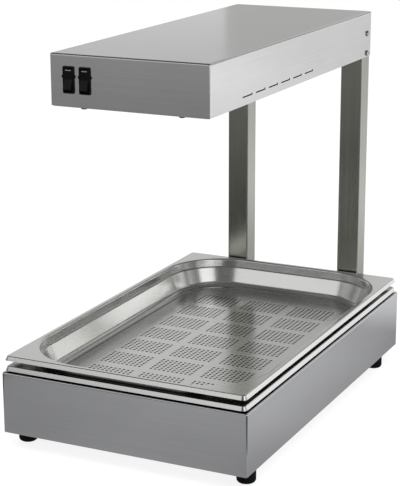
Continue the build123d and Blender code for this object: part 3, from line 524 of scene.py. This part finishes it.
def makePanFloor(plan):
    low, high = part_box("perforated_pan_floor")
    middle = (low + high) / 2
    halfX, halfY = (high.x - low.x) / 2, (high.y - low.y) / 2
    corner, turns, sides = plan["corner"], plan["cornerSides"], plan["holeSides"]
    outline = []
    for quarter, (sx, sy) in enumerate(((1, 1), (-1, 1), (-1, -1), (1, -1))):
        for step in range(turns + 1):
            angle = math.pi / 2 * (quarter + step / turns)
            outline.append((
                middle.x + sx * (halfX - corner) + corner * math.cos(angle),
                middle.y + sy * (halfY - corner) + corner * math.sin(angle),
            ))
    rings = [outline]
    for blockX in range(plan["blockColumns"]):
        for blockY in range(plan["blockRows"]):
            startX = middle.x + (blockX - (plan["blockColumns"] - 1) / 2) * plan["blockPitch"][0]
            startY = middle.y + plan["shift"] + (blockY - (plan["blockRows"] - 1) / 2) * plan["blockPitch"][1]
            for column in range(plan["holeColumns"]):
                for row in range(plan["holeRows"]):
                    x = startX + (column - (plan["holeColumns"] - 1) / 2) * plan["holePitch"]
                    y = startY + (row - (plan["holeRows"] - 1) / 2) * plan["holePitch"]
                    rings.append([
                        (
                            x + plan["holeRadius"] * math.cos(math.tau * (side + 0.5) / sides),
                            y + plan["holeRadius"] * math.sin(math.tau * (side + 0.5) / sides),
                        )
                        for side in range(sides)
                    ])
    flat, ringOf, edges = [], [], []
    for number, ring in enumerate(rings):
        first = len(flat)
        flat.extend(Vector(point) for point in ring)
        ringOf.extend([number] * len(ring))
        edges.extend((first + i, first + (i + 1) % len(ring)) for i in range(len(ring)))
    skins = delaunay_2d_cdt(flat, edges, [], 1, plan["mergeWithin"])[2]
    shown = [f for f in skins if ringOf[f[0]] == 0 or len({ringOf[i] for i in f}) > 1]  # not the holes
    count = len(flat)
    points = [(spot.x, spot.y, high.z) for spot in flat] + [(spot.x, spot.y, low.z) for spot in flat]
    faces = [tuple(f) for f in shown]
    faces += [tuple(i + count for i in reversed(f)) for f in shown]
    faces += [(a + count, b + count, b, a) for a, b in edges]
    floor = meshPiece("panFloor", points, faces, "pan", "perforated_pan")
    floor.data.materials.append(looks["holeShade"])
    for face in floor.data.polygons[-len(edges) + len(outline):]:  # the walls of the holes, near black: painted shade inside the holes
        face.material_index = 1
    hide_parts("perforated_pan_floor")
    print("pan floor holes:", len(rings) - 1, "faces:", len(faces))


makePanFloor(perforation)


# pale bar let into the upper half of each rocker
rockerBar = {
    "width": 0.0080,
    "height": 0.0010,
    "rise": 0.0114,
    "proud": 0.00015,
    "sunk": 0.0004,
    "endSides": 5,
    "rimShare": 0.4,  # of the proud height, where the rounding starts
    "topShrink": 0.9,
    "rayStart": 0.05,  # in front of the housing
}


def makeRockerBars(plan):
    for side in ("left", "right"):
        rocker = nodes["rocker_" + side]
        low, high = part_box("switch_housing_" + side)
        middleX, middleZ = (low.x + high.x) / 2, (low.z + high.z) / 2
        start = Vector((middleX, low.y - plan["rayStart"], middleZ + plan["rise"]))
        spot, facing = rocker.ray_cast(start, Vector((0, 1, 0)))[1:3]
        across = Vector((1, 0, 0))
        upward = facing.cross(across)
        if upward.z < 0:
            upward = -upward
        radius = plan["height"] / 2
        outline = []
        for end in (1, -1):
            for step in range(plan["endSides"] + 1):
                angle = math.pi * step / plan["endSides"] - math.pi / 2
                outline.append((
                    end * (plan["width"] / 2 - radius + radius * math.cos(angle)),
                    end * radius * math.sin(angle),
                ))
        count = len(outline)
        rim = plan["proud"] * plan["rimShare"]
        points = []
        for depth, shrink in ((-plan["sunk"], 1.0), (rim, 1.0), (plan["proud"], plan["topShrink"])):
            points += [spot + across * x * shrink + upward * y * shrink + facing * depth for x, y in outline]
        faces = [tuple(range(count)), tuple(range(2 * count, 3 * count))]
        for layer in range(2):
            for i in range(count):
                j = (i + 1) % count
                a = layer * count
                faces.append((a + i, a + j, a + count + j, a + count + i))
        bar = meshPiece("rockerBar_" + side, points, faces, "mark", "rocker_" + side)
        turnFacesOut(bar)
    print("rocker bars set in")


makeRockerBars(rockerBar)


# wound filaments inside the two quartz tubes
filamentCoil = {
    "radius": 0.00165,
    "wire": 0.00030,
    "pitch": 0.0022,
    "turnSides": 10,
    "wireSides": 5,
    "tail": 0.006,
    "leadIn": 0.002,  # from the straight end to the first turn
}


def makeFilaments(plan):
    low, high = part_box("lamp_filaments")
    for side in ("left", "right"):
        tubeLow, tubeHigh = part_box("quartz_tube_" + side)
        centre = (tubeLow + tubeHigh) / 2
        turns = int((high.y - low.y - 2 * plan["tail"]) / plan["pitch"])
        steps = turns * plan["turnSides"]
        start = (low.y + high.y - turns * plan["pitch"]) / 2
        end = start + turns * plan["pitch"]
        path = [Vector((centre.x, y, centre.z)) for y in (low.y, start - plan["leadIn"])]
        for step in range(steps + 1):
            angle = math.tau * step / plan["turnSides"]
            path.append(Vector((
                centre.x + plan["radius"] * math.cos(angle),
                start + plan["pitch"] * step / plan["turnSides"],
                centre.z + plan["radius"] * math.sin(angle),
            )))
        path += [Vector((centre.x, y, centre.z)) for y in (end + plan["leadIn"], high.y)]
        wire, sides = plan["wire"], plan["wireSides"]
        coil = tubeAlong("filamentCoil_" + side, path, wire, sides, "filament", "base")
        if side == "left":
            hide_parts("lamp_filaments")
    print("filament turns:", turns)


makeFilaments(filamentCoil)

# studio: pale floor, soft lights, and the graded floor, walls and cards that metal mirrors
studio = {
    "floorSize": 24.0,
    "floorShade": 0.25,  # share of the floor that takes shadow
    "floorGlow": 0.85,
    "floorFromFront": [  # brightness that metal mirrors, along the floor to the rear
        (-3.6, 0.37), (-2.7, 0.30), (-2.2, 0.265), (-0.9, 0.40), (-0.55, 0.64), (-0.33, 0.63), (-0.26, 0.74),
        (-0.05, 0.90), (0.2, 0.88), (0.36, 0.74), (0.45, 1.0), (0.88, 1.06), (1.2, 1.14), (1.6, 1.06),
        (2.4, 1.03), (2.9, 0.87), (3.5, 0.79), (4.2, 0.72),
    ],
    "floorAcross": [  # the same from left to right
        (-0.9, 1.0), (-0.45, 0.85), (-0.33, 0.78), (-0.2, 0.90), (-0.05, 1.03), (0.1, 0.99), (0.16, 0.87),
        (0.19, 0.82), (0.26, 1.12), (0.33, 1.02), (0.55, 0.90), (0.78, 0.84), (1.085, 0.88), (1.48, 1.14),
    ],
    "floorShadowRound": (0.40, 1.2, 0.56),  # painted shadow in the floor that metal mirrors, darker round the object from, to, share
    "wallBack": [  # by height
        (0.0, 1.0), (0.10, 0.86), (0.14, 0.56), (0.19, 0.51), (0.25, 0.60), (0.30, 0.63), (0.36, 0.68),
        (0.44, 0.50), (0.52, 0.32), (0.64, 0.16), (1.0, 0.10),
    ],
    "wallFront": [(0.0, 0.45), (0.10, 0.35), (0.2, 0.16), (0.4, 0.12), (1.0, 0.10)],
    "wallBlend": (-0.2, 0.3),  # from the front wall to the back one
    "worldLight": 0.55,
    "cardTint": (1, 1, 0.985, 1),
    "matLift": 0.002,
    "lampAim": (0, 0, 0.2),
}
softboxes = {  # watts, width, depth, place
    "keyLight": (32.0, 2.2, 2.2, (1.6, -1.2, 2.6)),
    "topLight": (16.0, 2.2, 1.2, (-1.3, -0.8, 2.6)),
    "rimLight": (12.0, 2.6, 0.8, (0.6, 2.4, 2.2)),
}
studioCards = {  # ends or corners on the floor, low and high edge or None for a mat, brightness
    "matFront": [(-0.48, -1.3), (-0.23, -0.78), None, 0.03],
    "matFrontLeft": [(-1.3, -1.3), (-0.48, -0.60), None, 0.17],
    "matLeft": [(-1.3, -0.60), (-0.31, -0.2), None, 0.02],
    "matFrontRight": [(0.28, -1.5), (1.9, -0.24), None, 0.05],
    "screenBehind": [(-1.03, 2.24), (-0.654, 2.392), (0.3, 2.4), 0.48],
    "glowBackRight": [(0.75, 2.75), (2.1, 2.1), (0.30, 0.69), 1.08],
    "screenBackRight": [(0.75, 2.75), (2.1, 2.1), (0.70, 1.12), 0.10],
    "boxFrontLeft": [(-1.84, -1.84), (-0.36, -2.57), (1.00, 2.15), 0.84],
    "boxLeft": [(-2.1, -0.2), (-1.95, -1.6), (0.80, 1.50), 0.42],
    "boxRight": [(1.61, -1.78), (2.36, -0.42), (0.80, 1.90), 1.15],
    "glowFrontRight": [(0.85, -2.0), (1.85, -1.0), (0.25, 0.70), 1.8],
}


def rayKinds(tree, wanted):
    path = addNode(tree, "ShaderNodeLightPath")
    last = path.outputs[wanted[0]]
    for kind in wanted[1:]:
        either = addNode(tree, "ShaderNodeMath", operation="MAXIMUM")
        tree.links.new(last, either.inputs[0])
        tree.links.new(path.outputs[kind], either.inputs[1])
        last = either.outputs[0]
    return last


def timesOf(tree, first, second):
    product = addNode(tree, "ShaderNodeMath", operation="MULTIPLY")
    tree.links.new(first, product.inputs[0])
    tree.links.new(second, product.inputs[1])
    return product.outputs[0]


def mixedShader(tree, share, first, second):
    mixed = addNode(tree, "ShaderNodeMixShader")
    for number, source in enumerate((share, first, second)):
        tree.links.new(source, mixed.inputs[number])
    return mixed.outputs[0]


def fallOff(tree, source, stops):
    low, high = stops[0][0], stops[-1][0]
    share = rangeOf(tree, source, 0.0, 1.0, low, high)
    return rampOf(tree, share, [((spot - low) / (high - low), (level,) * 3) for spot, level in stops])


def flatCard(name, corners, look):
    mesh = bpy.data.meshes.new(name)
    mesh.from_pydata(corners, [], [tuple(range(len(corners)))])
    mesh.materials.append(look)
    card = bpy.data.objects.new(name, mesh)
    bpy.context.scene.collection.objects.link(card)
    return card


def mirroredCard(name, corners, gapShadeTint, glow):  # a studio card that only metal and gloss see
    look, tree = emptyLook(name)
    shine = addNode(tree, "ShaderNodeEmission", {"Color": gapShadeTint, "Strength": glow})
    out = addNode(tree, "ShaderNodeOutputMaterial")
    tree.links.new(shine.outputs[0], out.inputs["Surface"])
    card = flatCard(name, corners, look)
    card.visible_camera = card.visible_diffuse = card.visible_shadow = False
    card.visible_transmission = card.visible_volume_scatter = False


def makeFloor(plan):
    look, tree = emptyLook("paleFloor")
    place = addNode(tree, "ShaderNodeSeparateXYZ")
    position = addNode(tree, "ShaderNodeNewGeometry").outputs["Position"]
    tree.links.new(position, place.inputs["Vector"])
    away = addNode(tree, "ShaderNodeVectorMath", operation="LENGTH")
    tree.links.new(position, away.inputs[0])
    # painted shadow round the object, seen only in reflections
    near, far, share = plan["floorShadowRound"]
    graded = timesOf(
        tree,
        timesOf(
            tree,
            fallOff(tree, place.outputs["Y"], plan["floorFromFront"]),
            fallOff(tree, place.outputs["X"], plan["floorAcross"]),
        ),
        rangeOf(tree, away.outputs["Value"], share, 1.0, near, far),
    )
    shade = addNode(tree, "ShaderNodeBsdfDiffuse", {"Color": (plan["floorShade"],) * 3 + (1,)})
    seen = addNode(tree, "ShaderNodeEmission", {"Color": plainWhite})
    level = addNode(tree, "ShaderNodeMath", {1: plan["floorGlow"]}, operation="MULTIPLY")
    tree.links.new(rayKinds(tree, ["Is Camera Ray", "Is Transmission Ray"]), level.inputs[0])
    tree.links.new(level.outputs[0], seen.inputs["Strength"])
    mirrored = addNode(tree, "ShaderNodeEmission", {"Color": plainWhite})
    tree.links.new(graded, mirrored.inputs["Strength"])
    lit = addNode(tree, "ShaderNodeAddShader")
    tree.links.new(shade.outputs[0], lit.inputs[0])
    tree.links.new(seen.outputs[0], lit.inputs[1])
    both = mixedShader(tree, rayKinds(tree, ["Is Glossy Ray"]), lit.outputs[0], mirrored.outputs[0])
    out = addNode(tree, "ShaderNodeOutputMaterial")
    tree.links.new(both, out.inputs["Surface"])
    half = plan["floorSize"] / 2
    flatCard("floor", [(-half, -half, 0), (half, -half, 0), (half, half, 0), (-half, half, 0)], look)


def makeSurroundings(plan):
    world = bpy.data.worlds.new("studio")
    bpy.context.scene.world = world
    world.use_nodes = True
    tree = world.node_tree
    tree.nodes.clear()
    way = addNode(tree, "ShaderNodeSeparateXYZ")
    tree.links.new(addNode(tree, "ShaderNodeTexCoord").outputs["Generated"], way.inputs["Vector"])
    graded = blendOf(
        tree,
        rangeOf(tree, way.outputs["Y"], 0.0, 1.0, *plan["wallBlend"]),
        fallOff(tree, way.outputs["Z"], plan["wallFront"]),
        fallOff(tree, way.outputs["Z"], plan["wallBack"]),
    )
    mirrored = addNode(tree, "ShaderNodeBackground", {"Color": plainWhite})
    tree.links.new(graded, mirrored.inputs["Strength"])
    light = addNode(tree, "ShaderNodeBackground", {"Color": plainWhite, "Strength": plan["worldLight"]})
    seen = addNode(tree, "ShaderNodeBackground", {"Color": plainWhite, "Strength": 1.0})
    unseen = mixedShader(tree, rayKinds(tree, ["Is Glossy Ray"]), light.outputs[0], mirrored.outputs[0])
    straight = rayKinds(tree, ["Is Camera Ray", "Is Transmission Ray"])
    out = addNode(tree, "ShaderNodeOutputWorld")
    tree.links.new(mixedShader(tree, straight, unseen, seen.outputs[0]), out.inputs["Surface"])


def makeLamp(name, power, width, depth, place, aim):
    data = bpy.data.lights.new(name, "AREA")
    data.energy = power
    data.shape = "RECTANGLE"
    data.size, data.size_y = width, depth
    lamp = bpy.data.objects.new(name, data)
    lamp.location = place
    lamp.visible_glossy = False  # the cards are what metal mirrors
    lamp.rotation_euler = (Vector(aim) - Vector(place)).to_track_quat("-Z", "Y").to_euler()
    bpy.context.scene.collection.objects.link(lamp)


def makeStudio(plan):
    makeFloor(plan)
    makeSurroundings(plan)
    for name, (one, two, heights, glow) in studioCards.items():
        if heights:  # upright
            low, high = heights
            corners = [(*one, low), (*two, low), (*two, high), (*one, high)]
        else:  # lies on the floor
            ground = [one, (two[0], one[1]), two, (one[0], two[1])]
            corners = [(*spot, plan["matLift"]) for spot in ground]
        mirroredCard(name, corners, plan["cardTint"], glow)
    for name, (power, width, depth, place) in softboxes.items():
        makeLamp(name, power, width, depth, place, plan["lampAim"])


makeStudio(studio)
bpy.context.scene.view_settings.view_transform = "Standard"
print("studio lit")
